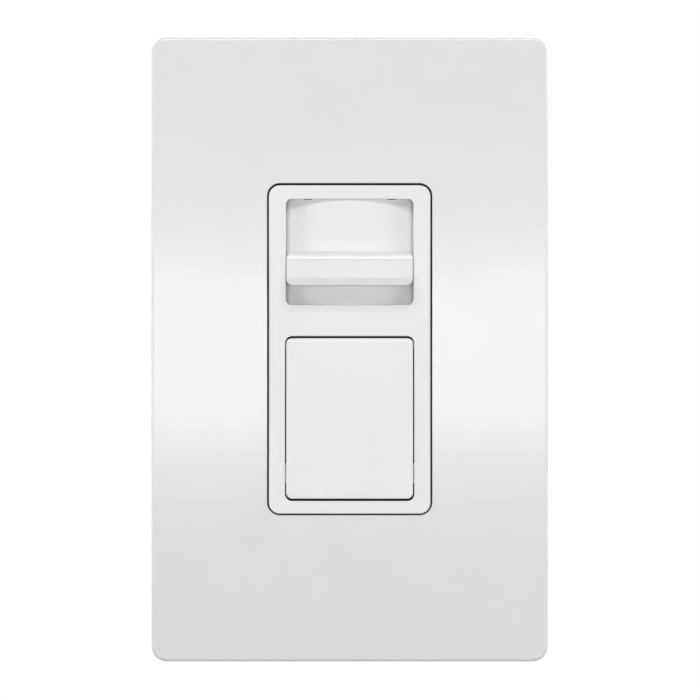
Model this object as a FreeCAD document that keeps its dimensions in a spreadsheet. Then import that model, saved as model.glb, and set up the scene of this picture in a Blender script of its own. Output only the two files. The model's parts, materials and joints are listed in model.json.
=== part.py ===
# Slide dimmer for a wall box: a crowned screwless plate, a front with a slider window
# and a press paddle, and the yoke, housing and electric parts behind them.
# Millimetres. +Z is up, +X is right, and the front faces -Y. The origin lies on the
# wall, at the middle of the plate.
import FreeCAD
import Part
import os
import re

import Sketcher

V = FreeCAD.Vector

SIZES = {
    # how far a cut runs past the face that it opens, and a weld into its neighbour
    "overrun": 1.0,
    "weld": 0.2,
    # cover plate
    "plate_width": 79.5,
    "plate_end_margin": 14.23,
    "plate_crown": 2.2,
    "plate_skin": 1.6,
    "plate_corner": 3.0,
    "plate_edge": 0.6,
    "plate_gap": 0.36,
    "opening_edge": 0.2,
    "opening_lift": 0.08,
    # carrier behind the cover plate, and the latches that hold the plate on it
    "sub_plate_side_inset": 4.7,
    "sub_plate_end_inset": 6.5,
    "sub_plate_thickness": 1.2,
    "sub_plate_corner": 3.0,
    "sub_plate_gap": 0.15,
    "latch_place": 30.0,
    "latch_length": 10.0,
    "latch_thickness": 1.2,
    "latch_grip": 0.75,
    "latch_clearance": 0.15,
    "latch_nose": 0.95,
    # metal strap
    "yoke_lift": 0.1,
    "yoke_thickness": 1.6,
    "yoke_end_margin": 0.5,
    "neck_width": 32.0,
    "ear_width": 42.0,
    "ear_height": 8.0,
    "ear_margin": 4.9,
    "yoke_corner": 1.5,
    "box_spacing": 83.3,
    "cover_screw_step": 6.75,
    "box_slot_width": 4.2,
    "box_slot_length": 6.5,
    # front of the dimmer
    "frame_width": 32.4,
    "frame_end_inset": 1.55,
    "frame_proud": 0.35,
    "frame_skin": 1.2,
    "frame_wall": 0.9,
    "frame_corner": 2.2,
    "frame_edge": 0.2,
    "hook_width": 9.0,
    "hook_reach": 0.85,
    "hook_thickness": 0.8,
    "hook_clearance": 0.15,
    # slider window and the crowned floor behind it
    "window_side_margin": 3.4,
    "window_top_margin": 2.75,
    "window_height": 21.2,
    "window_corner": 1.1,
    "window_edge": 0.14,
    "notch_place": 8.4,
    "notch_width": 1.6,
    "notch_height": 0.15,
    "notch_depth": 0.8,
    "well_rise": 0.9,
    "well_gap": 0.02,
    "well_drop": 1.8,
    "well_thickness": 1.2,
    "well_margin": 0.73,
    "well_top_margin": 1.07,
    "well_end_wall": 0.6,
    "well_clip_width": 4.0,
    "well_clip_thickness": 1.0,
    "well_clip_grip": 0.4,
    "well_clip_depth": 0.8,
    "seat_clearance": 0.05,
    # slider
    "knob_gap_side": 0.15,
    "knob_gap_top": 0.41,
    "knob_gap_bottom": 0.47,
    "knob_height": 6.63,
    "knob_proud": 3.6,
    "knob_down": 3.37,
    "knob_top_round": 1.8,
    "knob_bevel_height": 1.48,
    "knob_bevel_depth": 0.16,
    "knob_low_corner": 1.3,
    "knob_top_corner": 1.2,
    "knob_edge": 0.2,
    "slide_clearance": 0.3,
    "leg_thickness": 1.0,
    "leg_height": 5.0,
    "leg_yoke_gap": 0.2,
    "carriage_thickness": 1.9,
    "carriage_gap": 0.22,
    "socket_width": 6.4,
    "socket_gap": 0.6,
    "socket_floor": 0.4,
    # press paddle
    "paddle_hole_margin_side": 3.25,
    "paddle_hole_margin_bottom": 2.56,
    "middle_bar": 6.31,
    "paddle_skin": 1.8,
    "paddle_wall": 1.0,
    "paddle_tilt_rise": 0.35,
    "paddle_side_depth": 3.5,
    "paddle_corner": 1.15,
    "paddle_bevel_height": 0.8,
    "paddle_bevel_depth": 0.5,
    "paddle_edge": 0.22,
    "paddle_gap_side": 0.24,
    "paddle_gap_top": 0.41,
    "paddle_gap_bottom": 0.46,
    "hinge_drop": 1.2,
    "hinge_sink": 1.3,
    "hinge_radius": 1.0,
    "hinge_clearance": 0.05,
    "hinge_rib_gap": 0.33,
    "hinge_rib_width": 1.3,
    "hinge_rib_margin": 1.3,
    "hinge_mouth": 1.84,
    "press_rib_width": 8.0,
    "press_rib_thickness": 1.2,
    "press_rib_back": 4.0,
    "lug_reach": 1.2,
    "lug_length": 4.0,
    "lug_rise": 5.13,
    "lug_clearance": 0.15,
    "lug_thickness": 1.0,
    # press switch behind the paddle
    "switch_rise": 8.06,
    "switch_travel": 1.6,
    "switch_width": 10.0,
    "switch_length": 12.0,
    "switch_wall": 1.0,
    "switch_front": 1.0,
    "plunger_side": 3.2,
    "plunger_gap": 0.08,
    "plunger_clearance": 0.15,
    "plunger_flange_width": 6.4,
    "plunger_flange_length": 7.2,
    "plunger_flange_thickness": 1.0,
    "plunger_stop_gap": 0.1,
    "spring_pilot_radius": 0.9,
    "spring_radius": 1.4,
    "spring_wire": 0.4,
    "spring_turns": 6.0,
    "spring_gap": 0.05,
    "bridge_width": 5.2,
    "bridge_length": 8.4,
    "bridge_thickness": 0.4,
    "bridge_hole_radius": 1.85,
    "contact_radius": 0.6,
    "contact_place": 3.2,
    "contact_gap": 0.15,
    # slide resistor behind the slider
    "pot_width": 9.0,
    "pot_end_gap": 1.5,
    "pot_front": 2.5,
    "pot_can": 0.5,
    "pot_fit": 0.05,
    "track_thickness": 2.0,
    "lever_thickness": 1.2,
    "lever_width": 4.0,
    "lever_clearance": 0.3,
    "lever_yoke_gap": 1.0,
    "plunger_yoke_gap": 0.6,
    "lever_foot_width": 5.0,
    "lever_foot_length": 7.2,
    "lever_foot_thickness": 2.0,
    "lever_foot_gap": 0.2,
    "lever_tip_gap": 0.2,
    "wiper_strip": 0.3,
    "wiper_width": 4.0,
    "wiper_length": 6.0,
    # circuit board and what stands on it
    "board_front": 9.0,
    "board_thickness": 1.6,
    "board_side_gap": 0.4,
    "board_end_gap": 0.4,
    "triac_width": 10.0,
    "triac_body_height": 9.2,
    "triac_tab_height": 6.4,
    "triac_depth": 4.5,
    "triac_tab_thickness": 1.3,
    "triac_place": -11.0,
    "triac_gap": 2.09,
    "triac_lead_pitch": 2.54,
    "triac_lead_width": 0.8,
    "triac_lead_thickness": 0.5,
    "triac_lead_drop": 2.2,
    "pad_thickness": 0.2,
    "pad_margin": 1.0,
    "rivet_radius": 1.5,
    "rivet_head_radius": 2.6,
    "rivet_head_height": 0.6,
    "rivet_clearance": 0.1,
    "rivet_drop": 2.7,
    "choke_drop": 16.3,
    "choke_outer_radius": 9.0,
    "choke_inner_radius": 5.0,
    "choke_thickness": 5.0,
    "winding_thickness": 0.9,
    "winding_clearance": 0.1,
    "winding_angle": 300.0,
    "capacitor_length": 18.0,
    "capacitor_thickness": 7.0,
    "capacitor_depth": 11.0,
    "capacitor_round": 0.5,
    "capacitor_gap": 3.25,
    "capacitor_pitch": 8.5,
    "resistor_radius": 1.2,
    "resistor_length": 6.5,
    "resistor_place": -13.0,
    "resistor_pitch": 9.0,
    "diac_radius": 1.0,
    "diac_length": 3.8,
    "diac_place": -13.0,
    "diac_drop": 12.5,
    "part_gap": 0.05,
    # back housing
    "housing_width": 44.0,
    "housing_end_inset": 7.15,
    "housing_depth": 30.0,
    "housing_wall": 1.8,
    "housing_corner": 2.5,
    "housing_edge": 1.2,
    "field_side_margin": 10.0,
    "field_end_margin": 14.5,
    "field_depth": 0.25,
    "mark_radius": 2.2,
    "mark_side_inset": 11.0,
    "mark_end_inset": 7.5,
    "mark_depth": 0.2,
    "ledge_width": 20.0,
    "ledge_depth": 1.6,
    "column_radius": 2.4,
    "column_side_inset": 2.8,
    "column_end_inset": 6.5,
    # screws
    "box_screw_radius": 1.75,
    "box_screw_neck": 1.45,
    "box_screw_neck_end": 0.8,
    "box_screw_end": 20.0,
    "box_screw_head_radius": 3.3,
    "box_screw_head_height": 2.0,
    "screw_head_round": 0.5,
    "head_clearance": 0.4,
    "screw_point": 0.7,
    "screw_slot_width": 1.0,
    "screw_slot_depth": 0.8,
    "retainer_side": 8.0,
    "retainer_thickness": 0.6,
    "retainer_clearance": 0.1,
    "cover_screw_radius": 1.6,
    "cover_screw_clearance": 0.25,
    "cover_screw_fit": 0.05,
    "cover_screw_end": 2.0,
    "cover_screw_head_radius": 2.6,
    "cover_screw_head_height": 1.0,
    "housing_screw_radius": 1.2,
    "housing_screw_end": 8.0,
    "housing_screw_head_radius": 2.2,
    "housing_screw_head_height": 0.8,
    "housing_screw_fit": 0.05,
    "sink_clearance": 0.2,
    # ground tab
    "ground_tab_left": 8.0,
    "ground_tab_width": 7.0,
    "ground_tab_depth": 9.0,
    "ground_tab_drop": 1.0,
    "ground_screw_depth": 4.8,
    "ground_screw_radius": 1.7,
    "ground_screw_head_radius": 3.0,
    "ground_screw_head_height": 1.8,
    "ground_screw_end_gap": 0.5,
    # side terminals
    "terminal_place": 15.0,
    "terminal_width": 8.0,
    "terminal_thickness": 1.0,
    "terminal_tab_width": 3.0,
    "terminal_margin": 5.2,
    "terminal_screw_sink": 6.3,
    "terminal_screw_radius": 1.75,
    "terminal_screw_head_radius": 3.2,
    "terminal_screw_head_height": 1.1,
    "terminal_fit": 0.05,
    "pocket_gap": 1.7,
    "pocket_margin": 0.6,
    "pocket_wall": 1.2,
    "clamp_front_gap": 0.5,
    "clamp_hole_radius": 2.0,
}

# Places that follow from the sizes. Each is a formula over sizes and other places.
# Depths are counted from the strap to the front: the strap, the slider's carriage, its
# crowned floor and the front's skin lie on each other, and the cover plate follows.
PLACES = {
    "yoke_back": "-yoke_lift",
    "yoke_front": "yoke_back - yoke_thickness",
    "box_screw_place": "box_spacing / 2",
    "cover_screw_place": "box_screw_place + cover_screw_step",
    "housing_half": "housing_width / 2",
    "housing_end": "box_screw_place - housing_end_inset",
    "housing_inside": "housing_half - housing_wall",
    "housing_inside_end": "housing_end - housing_wall",
    "yoke_end": "housing_end + yoke_end_margin",
    "strap_end": "cover_screw_place + ear_margin",
    "column_place_x": "housing_half - column_side_inset",
    "column_place_z": "housing_end - column_end_inset",
    "column_top": "housing_depth - housing_wall",
    "frame_half": "frame_width / 2",
    "frame_end": "housing_end - frame_end_inset",
    "frame_inside": "frame_half - frame_wall",
    "frame_inside_end": "frame_end - frame_wall",
    "leg_outside": "frame_inside - slide_clearance",
    "leg_inside": "leg_outside - leg_thickness",
    "leg_back": "yoke_front - leg_yoke_gap",
    "carriage_front": "leg_back - carriage_thickness",
    "window_half": "frame_half - window_side_margin",
    "window_top": "frame_end - window_top_margin",
    "window_bottom": "window_top - window_height",
    "well_half": "leg_inside - slide_clearance",
    "well_radius": "(window_half ^ 2 + well_drop ^ 2) / (2 * well_drop)",
    "well_back_radius": "well_radius - well_thickness",
    "well_side_back": "carriage_front - carriage_gap",
    "well_centre": "well_side_back + sqrt(well_back_radius ^ 2 - well_half ^ 2)",
    "well_side_front": "well_centre - sqrt(well_radius ^ 2 - well_half ^ 2)",
    "well_front": "well_centre - well_radius",
    "well_back": "well_centre - well_back_radius",
    "well_low": "window_bottom - well_margin",
    "well_high": "window_top + well_top_margin",
    "skin_back": "well_front + well_rise",
    "well_level": "sqrt(well_radius ^ 2 - (well_centre - skin_back) ^ 2)",
    "frame_front": "skin_back - frame_skin",
    "plate_half": "plate_width / 2",
    "plate_end": "cover_screw_place + plate_end_margin",
    "plate_front": "frame_front + frame_proud - plate_crown * (frame_end / plate_end) ^ 2",
    "plate_end_front": "plate_front + plate_crown",
    "plate_radius": "(plate_end ^ 2 + plate_crown ^ 2) / (2 * plate_crown)",
    "plate_centre": "plate_front + plate_radius",
    "hollow_half": "plate_half - plate_skin",
    "hollow_end": "plate_end - plate_skin",
    "hollow_end_front": "plate_centre - sqrt((plate_radius - plate_skin) ^ 2 - hollow_end ^ 2)",
    "opening_half": "frame_half + plate_gap",
    "opening_low": "opening_lift - frame_end - plate_gap",
    "opening_high": "opening_lift + frame_end + plate_gap",
    "sub_half": "plate_half - sub_plate_side_inset",
    "sub_end": "plate_end - sub_plate_end_inset",
    "sub_front": "yoke_front - sub_plate_thickness",
    "latch_inside": "sub_half + latch_clearance",
    "latch_outside": "latch_inside + latch_thickness",
    "latch_root": "plate_front + plate_crown * (latch_place / plate_end) ^ 2 + plate_skin / 2",
    "latch_catch": "yoke_front + latch_clearance",
    "latch_back": "latch_catch + latch_nose",
    "latch_tip": "sub_half - latch_grip",
    "hook_front": "yoke_back + seat_clearance",
    "hook_back": "hook_front + hook_thickness",
    "notch_outside": "notch_place + notch_width / 2",
    "clip_catch": "well_centre - sqrt(well_back_radius ^ 2 - notch_outside ^ 2) + seat_clearance",
    "clip_back": "clip_catch + well_clip_depth",
    "wing_front": "skin_back + slide_clearance",
    "wing_back": "well_centre - sqrt(knob_back_radius ^ 2 - leg_outside ^ 2)",
    "knob_half": "window_half - knob_gap_side",
    "knob_rest": "window_bottom + knob_gap_bottom + knob_down + knob_height / 2",
    "knob_up": "window_top - knob_gap_top - knob_height / 2 - knob_rest",
    "knob_front": "frame_front - knob_proud",
    "knob_back_radius": "well_radius + slide_clearance",
    "knob_side_back": "well_centre - sqrt(knob_back_radius ^ 2 - knob_half ^ 2)",
    "socket_front": "well_back + socket_gap",
    "paddle_hole_half": "frame_half - paddle_hole_margin_side",
    "paddle_hole_top": "window_bottom - middle_bar",
    "paddle_hole_bottom": "paddle_hole_margin_bottom - frame_end",
    "paddle_half": "paddle_hole_half - paddle_gap_side",
    "paddle_top": "paddle_hole_top - paddle_gap_top",
    "paddle_bottom": "paddle_hole_bottom + paddle_gap_bottom",
    "paddle_slope": "paddle_tilt_rise / (paddle_top - paddle_bottom)",
    "paddle_back": "frame_front + paddle_side_depth",
    "hinge_front": "skin_back + hinge_sink",
    "hinge_height": "paddle_top - hinge_drop",
    "hinge_rib_inside": "paddle_half + hinge_rib_gap",
    "hinge_rib_outside": "hinge_rib_inside + hinge_rib_width",
    "hinge_rib_back": "hinge_front + hinge_radius + hinge_rib_margin",
    "hinge_rib_reach": "hinge_radius + hinge_rib_margin",
    "lug_front": "skin_back + lug_clearance",
    "lug_place": "paddle_bottom + lug_rise",
    "board_half": "column_place_x - column_radius - board_side_gap",
    "board_end": "housing_inside_end - board_end_gap",
    "board_back": "board_front + board_thickness",
    "switch_height": "paddle_bottom + switch_rise",
    "switch_inside_front": "switch_front + switch_wall",
    "plunger_tip": "plunger_gap - press_rib_back",
    "flange_at": "switch_inside_front + plunger_stop_gap",
    "flange_back": "flange_at + plunger_flange_thickness",
    "contact_front": "flange_back + bridge_thickness + switch_travel + contact_gap",
    "travel_middle": "knob_rest + (knob_up - knob_down) / 2",
    "travel_half": "(knob_up + knob_down) / 2",
    "pot_half_length": "travel_half + lever_foot_length / 2 + pot_end_gap + pot_can",
    "track_front": "board_front - track_thickness",
    "foot_front": "pot_front + pot_can + lever_foot_gap",
    "foot_back": "foot_front + lever_foot_thickness",
    "pad_back": "yoke_back + pad_thickness",
    "triac_tab_back": "pad_back + triac_tab_thickness",
    "triac_top": "travel_middle - pot_half_length - triac_gap",
    "triac_shoulder": "triac_top - triac_tab_height",
    "triac_bottom": "triac_shoulder - triac_body_height",
    "rivet_height": "triac_top - rivet_drop",
    "winding_reach": "winding_thickness + winding_clearance",
    "choke_height": "board_end - choke_drop",
    "capacitor_top": "choke_height - choke_outer_radius - winding_reach - capacitor_gap",
    "capacitor_height": "capacitor_top - capacitor_thickness / 2 - capacitor_pitch / 2",
    "terminal_inside": "board_half",
    "terminal_outside": "terminal_inside + terminal_thickness",
    "pocket_front": "board_back + pocket_gap + pocket_wall",
    "pocket_reach": "terminal_width / 2 + pocket_margin",
    "terminal_screw_depth": "pocket_front + terminal_screw_sink",
    "terminal_end": "terminal_screw_depth + terminal_margin",
    "clamp_outside": "housing_half - terminal_screw_head_height",
    "clamp_inside": "clamp_outside - terminal_thickness",
    "ground_tab_top": "-(yoke_end + ground_tab_drop)",
    "ground_tab_bottom": "ground_tab_top - yoke_thickness",
    "ground_tab_right": "ground_tab_left + ground_tab_width",
    "ground_tab_middle": "ground_tab_left + ground_tab_width / 2",
}

TINY = 0.01
WORD = re.compile(r"[a-z][a-z0-9_]*")
PLANE_ACROSS = {"X": "YZ_Plane", "Y": "XZ_Plane", "Z": "XY_Plane"}

doc = FreeCAD.newDocument("SlideDimmer")
sheet = doc.addObject("Spreadsheet::Sheet", "Sizes")
for row, (alias, value) in enumerate(SIZES.items(), 1):
    sheet.set(f"A{row}", alias)
    sheet.set(f"B{row}", str(value))
    sheet.setAlias(f"B{row}", alias)
doc.recompute()


def formula(text):
    """Words become cells of the sheet, and places become their own formulas."""

    def swap(match):
        word = match.group(0)
        if word in SIZES:
            return "Sizes." + word
        if word in PLACES:
            return "(" + formula(PLACES[word]) + ")"
        return word

    return WORD.sub(swap, str(text))


def number(text):
    return float(sheet.evalExpression(formula(text)))


def minus(text):
    return f"-({text})"


def block(u_low, u_high, v_low, v_high):
    """A rectangle, as its four corners."""
    return [(u_low, v_low), (u_high, v_low), (u_high, v_high), (u_low, v_high)]


def around(u, v, width, height):
    """A rectangle about a centre."""
    return block(
        f"{u} - ({width}) / 2",
        f"{u} + ({width}) / 2",
        f"{v} - ({height}) / 2",
        f"{v} + ({height}) / 2",
    )


def disc(u, v, radius):
    return {"centre": (u, v), "radius": radius}


def flip(loop, u=False, v=False):
    """The mirror image of a loop, across the first or the second sketch axis."""

    def turned(point):
        return (minus(point[0]) if u else point[0], minus(point[1]) if v else point[1])

    if isinstance(loop, dict):
        return disc(*turned(loop["centre"]), loop["radius"])
    return [turned(corner) + tuple(corner[2:]) for corner in loop]


def left_right(loop):
    return [loop, flip(loop, u=True)]


def top_bottom(loop):
    return [loop, flip(loop, v=True)]


def four_ways(loop):
    return top_bottom(loop) + top_bottom(flip(loop, u=True))


def bind_point(sketch, geometry, point, u, v):
    for kind, text in (("DistanceX", u), ("DistanceY", v)):
        constraint = Sketcher.Constraint(kind, -1, 1, geometry, point, number(text))
        index = sketch.addConstraint(constraint)
        sketch.setExpression(f"Constraints[{index}]", formula(text))


def draw_disc(sketch, loop):
    u, v = loop["centre"]
    centre = V(number(u), number(v), 0)
    circle = Part.Circle(centre, V(0, 0, 1), number(loop["radius"]))
    geometry = sketch.addGeometry(circle, False)
    bind_point(sketch, geometry, 3, u, v)
    size = Sketcher.Constraint("Radius", geometry, number(loop["radius"]))
    index = sketch.addConstraint(size)
    sketch.setExpression(f"Constraints[{index}]", formula(loop["radius"]))


def short_arc(start, end, axis, place):
    """The arc from start to end. Its centre's place is given on one axis, and on the
    other it lies where both ends are equally far away.

    Returns the arc and the numbers of the points where it starts and ends."""
    middle, step = (start + end) / 2, end - start
    if axis == "u":
        centre = V(place, middle.y + step.x * (middle.x - place) / step.y, 0)
    else:
        centre = V(middle.x + step.y * (middle.y - place) / step.x, place, 0)
    turn = (end - centre).getAngle(start - centre)
    forward = (start - centre).cross(end - centre).z > 0
    first = start if forward else end
    angle = V(1, 0, 0).getAngle(first - centre)
    if first.y < centre.y:
        angle = -angle
    circle = Part.Circle(centre, V(0, 0, 1), (start - centre).Length)
    arc = Part.ArcOfCircle(circle, angle, angle + turn)
    return arc, ((1, 2) if forward else (2, 1))


def draw_corners(sketch, corners):
    points = [V(number(corner[0]), number(corner[1]), 0) for corner in corners]
    pieces = []
    for index, corner in enumerate(corners):
        start, end = points[index], points[(index + 1) % len(points)]
        if len(corner) > 2:
            axis, place = corner[2]
            arc, ends = short_arc(start, end, axis, number(place))
            geometry = sketch.addGeometry(arc, False)
            kind = "DistanceX" if axis == "u" else "DistanceY"
            centred = Sketcher.Constraint(kind, -1, 1, geometry, 3, number(place))
            constraint = sketch.addConstraint(centred)
            sketch.setExpression(f"Constraints[{constraint}]", formula(place))
        else:
            geometry = sketch.addGeometry(Part.LineSegment(start, end), False)
            ends = (1, 2)
        pieces.append((geometry, ends))
    for index, corner in enumerate(corners):
        geometry, ends = pieces[index]
        before, before_ends = pieces[index - 1]
        joined = Sketcher.Constraint("Coincident", before, before_ends[1], geometry, ends[0])
        sketch.addConstraint(joined)
        bind_point(sketch, geometry, ends[0], corner[0], corner[1])


def draw(body, name, across, place, loops):
    """A sketch on the plane across an axis. It reads (y, z), (x, z) or (x, y)."""
    role = PLANE_ACROSS[across]
    plane = [item for item in body.Origin.OriginFeatures if item.Role == role][0]
    sketch = body.newObject("Sketcher::SketchObject", name + "Outline")
    sketch.AttachmentSupport = [(plane, "")]
    sketch.MapMode = "FlatFace"
    offset = minus(place) if across == "Y" else place
    sketch.setExpression("AttachmentOffset.Base.z", formula(offset))
    for loop in loops:
        if isinstance(loop, dict):
            draw_disc(sketch, loop)
        else:
            draw_corners(sketch, loop)
    return sketch


def volume(body):
    return body.Shape.Volume if body.Tip else 0.0


def new_body(label):
    body = doc.addObject("PartDesign::Body", label)
    body.AllowCompound = True
    return body


def add(body, name, across, low, high, loops):
    """A pad of the loops, from low to high along the axis."""
    before = volume(body)
    sketch = draw(body, name, across, high if across == "Y" else low, loops)
    pad = body.newObject("PartDesign::Pad", name)
    pad.Profile = sketch
    pad.setExpression("Length", formula(f"({high}) - ({low})"))
    doc.recompute()
    if not volume(body) > before:
        raise RuntimeError(f"{body.Label}: {name} added nothing")


def cut(body, name, across, low, high, loops):
    """A pocket of the loops, from low to high along the axis."""
    before = volume(body)
    sketch = draw(body, name, across, low if across == "Y" else high, loops)
    pocket = body.newObject("PartDesign::Pocket", name)
    pocket.Profile = sketch
    pocket.setExpression("Length", formula(f"({high}) - ({low})"))
    doc.recompute()
    if not volume(body) < before:
        raise RuntimeError(f"{body.Label}: {name} cut nothing")


def edges(body, test):
    """The names of the tip's edges whose boxes pass the test."""
    found = enumerate(body.Tip.Shape.Edges, 1)
    names = [f"Edge{index}" for index, edge in found if test(edge.BoundBox)]
    if not names:
        raise RuntimeError(f"{body.Label}: no edge to round")
    return names


def dress(body, kind, name, prop, size, test):
    base = body.Tip
    names = edges(body, test)
    item = body.newObject(kind, name)
    item.Base = (base, names)
    item.setExpression(prop, formula(size))
    doc.recompute()
    if "Invalid" in item.State:
        raise RuntimeError(f"{body.Label}: {name} failed")


def round_off(body, name, radius, test):
    dress(body, "PartDesign::Fillet", name, "Radius", radius, test)


def bevel(body, name, size, test):
    dress(body, "PartDesign::Chamfer", name, "Size", size, test)


def at(value, text):
    return abs(value - number(text)) < TINY


def along_y(box):
    return box.XLength < TINY and box.ZLength < TINY


def on_y(box, text):
    """The edge lies in the plane at that depth."""
    return at(box.YMin, text) and at(box.YMax, text)


def reach(box):
    """How far the edge lies from the middle, to the side and up or down."""
    return max(abs(box.XMin), abs(box.XMax)), max(abs(box.ZMin), abs(box.ZMax))


def make_wall_plate():
    """The crowned cover, hollow behind, with two latches on each side."""
    plate = new_body("wall_plate")
    crown = ("u", "plate_centre")
    shell = [
        ("0", "-plate_end"),
        ("plate_end_front", "-plate_end", crown),
        ("plate_end_front", "plate_end"),
        ("0", "plate_end"),
    ]
    add(plate, "Shell", "X", "-plate_half", "plate_half", [shell])
    round_off(plate, "Corners", "plate_corner", along_y)
    front_level = number("plate_end_front") / 2
    round_off(plate, "FrontEdge", "plate_edge", lambda box: box.YMax < front_level)
    hollow = [
        ("0", "-hollow_end"),
        ("hollow_end_front", "-hollow_end", crown),
        ("hollow_end_front", "hollow_end"),
        ("0", "hollow_end"),
    ]
    cut(plate, "Hollow", "X", "-hollow_half", "hollow_half", [hollow])
    opening = block("-opening_half", "opening_half", "opening_low", "opening_high")
    cut(plate, "Opening", "Y", "plate_front - overrun", "0", [opening])

    def opening_corner(box):
        ends = at(box.ZMin, "opening_low") or at(box.ZMax, "opening_high")
        return along_y(box) and at(reach(box)[0], "opening_half") and ends

    round_off(plate, "OpeningCorners", "frame_corner + plate_gap", opening_corner)

    def opening_front(box):
        side, end = reach(box)
        inside = side < number("opening_half") + TINY and end < number("opening_high") + TINY
        return inside and box.YMax < number("plate_front + plate_crown / 2")

    round_off(plate, "OpeningEdge", "opening_edge", opening_front)
    latch = [
        ("latch_outside", "latch_root"),
        ("latch_outside", "latch_back"),
        ("latch_inside", "latch_back"),
        ("latch_tip", "latch_catch + latch_nose / 2"),
        ("latch_tip", "latch_catch"),
        ("latch_inside", "latch_catch"),
        ("latch_inside", "latch_root"),
    ]
    for name, middle in (("HighLatches", "latch_place"), ("LowLatches", "-latch_place")):
        low = f"{middle} - latch_length / 2"
        high = f"{middle} + latch_length / 2"
        add(plate, name, "Z", low, high, left_right(latch))
    return plate


def make_sub_plate():
    """The flat carrier on the strap that the cover's latches grip."""
    carrier = new_body("sub_plate")
    sheet_loops = [
        around("0", "0", "2 * sub_half", "2 * sub_end"),
        around("0", "0", "2 * (frame_half + sub_plate_gap)", "2 * (frame_end + sub_plate_gap)"),
    ]
    head_hole = disc("0", "box_screw_place", "box_screw_head_radius + head_clearance")
    screw_hole = disc("0", "cover_screw_place", "cover_screw_radius + cover_screw_clearance")
    holes = top_bottom(head_hole) + top_bottom(screw_hole)
    add(carrier, "Sheet", "Y", "sub_front", "yoke_front", sheet_loops + holes)

    def corner(box):
        return along_y(box) and at(reach(box)[1], "sub_end")

    def opening_corner(box):
        return along_y(box) and at(reach(box)[1], "frame_end + sub_plate_gap")

    round_off(carrier, "Corners", "sub_plate_corner", corner)
    round_off(carrier, "OpeningCorners", "frame_corner + sub_plate_gap", opening_corner)
    sink = "cover_screw_head_radius - cover_screw_radius"
    rim_top = "cover_screw_place + cover_screw_radius + cover_screw_clearance"

    def sink_rim(box):
        return on_y(box, "sub_front") and at(reach(box)[1], rim_top)

    bevel(carrier, "Sinks", sink, sink_rim)
    return carrier


def make_yoke():
    """The metal strap: slots, threaded holes, ground tab, and the triac's heat sink."""
    yoke = new_body("yoke")
    ears = top_bottom(around("0", "strap_end - ear_height / 2", "ear_width", "ear_height"))
    centre = around("0", "0", "2 * housing_half", "2 * yoke_end")
    neck = around("0", "0", "neck_width", "2 * strap_end")
    for name, loops in (("Centre", [centre]), ("Neck", [neck]), ("Ears", ears)):
        add(yoke, name, "Y", "yoke_front", "yoke_back", loops)

    def outer_corner(box):
        side = reach(box)[0]
        return along_y(box) and (at(side, "ear_width / 2") or at(side, "housing_half"))

    round_off(yoke, "Corners", "yoke_corner", outer_corner)
    through = ("Y", "yoke_front", "yoke_back")
    slot_run = "box_slot_length - box_slot_width"
    slot = around("0", "box_screw_place", slot_run, "box_slot_width")
    cut(yoke, "BoxSlots", *through, top_bottom(slot))
    slot_end = disc(f"({slot_run}) / 2", "box_screw_place", "box_slot_width / 2")
    cut(yoke, "BoxSlotRights", *through, top_bottom(slot_end))
    cut(yoke, "BoxSlotLefts", *through, top_bottom(flip(slot_end, u=True)))
    cover_hole = disc("0", "cover_screw_place", "cover_screw_radius + cover_screw_fit")
    rivet_hole = disc("triac_place", "rivet_height", "rivet_radius + rivet_clearance")
    cut(yoke, "RoundHoles", *through, top_bottom(cover_hole) + [rivet_hole])
    lever_slot = around(
        "0",
        "travel_middle",
        "lever_thickness + 2 * lever_yoke_gap",
        "2 * travel_half + lever_width + 2 * lever_yoke_gap",
    )
    plunger_side = "plunger_side + 2 * plunger_yoke_gap"
    plunger_hole = around("0", "switch_height", plunger_side, plunger_side)
    notch = block(
        "-hook_width / 2 - hook_clearance",
        "hook_width / 2 + hook_clearance",
        "frame_inside_end - hook_clearance",
        "frame_end + hook_clearance",
    )
    cut(yoke, "SquareHoles", *through, [lever_slot, plunger_hole] + top_bottom(notch))
    sink_radius = "housing_screw_head_radius - housing_screw_head_height + sink_clearance"
    sink_hole = disc("column_place_x", "column_place_z", sink_radius)
    cut(yoke, "HousingHoles", *through, four_ways(sink_hole))

    def sink_rim(box):
        side = reach(box)[0]
        return on_y(box, "yoke_front") and at(side, f"column_place_x + {sink_radius}")

    bevel(yoke, "Sinks", "housing_screw_head_height", sink_rim)
    tab = block("ground_tab_left", "ground_tab_right", "ground_tab_bottom", "ground_tab_top")
    add(yoke, "GroundTab", "Y", "yoke_front", "ground_tab_depth", [tab])
    lanced = block(
        "ground_tab_left",
        "ground_tab_right",
        "ground_tab_bottom - ground_tab_depth",
        "ground_tab_bottom",
    )
    cut(yoke, "LancedHole", *through, [lanced])
    ground_hole = disc(
        "ground_tab_middle", "ground_screw_depth", "ground_screw_radius + rivet_clearance"
    )
    cut(yoke, "GroundHole", "Z", "ground_tab_bottom", "ground_tab_top", [ground_hole])
    return yoke


def cross_slots(body, front, places):
    """A cross recess in each screw head that faces the front."""
    deep = ("Y", front, f"{front} + screw_slot_depth")
    length = "box_screw_head_radius"
    level = [around("0", place, length, "screw_slot_width") for place in places]
    upright = [around("0", place, "screw_slot_width", length) for place in places]
    cut(body, "LevelSlots", *deep, level)
    cut(body, "UprightSlots", *deep, upright)


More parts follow.
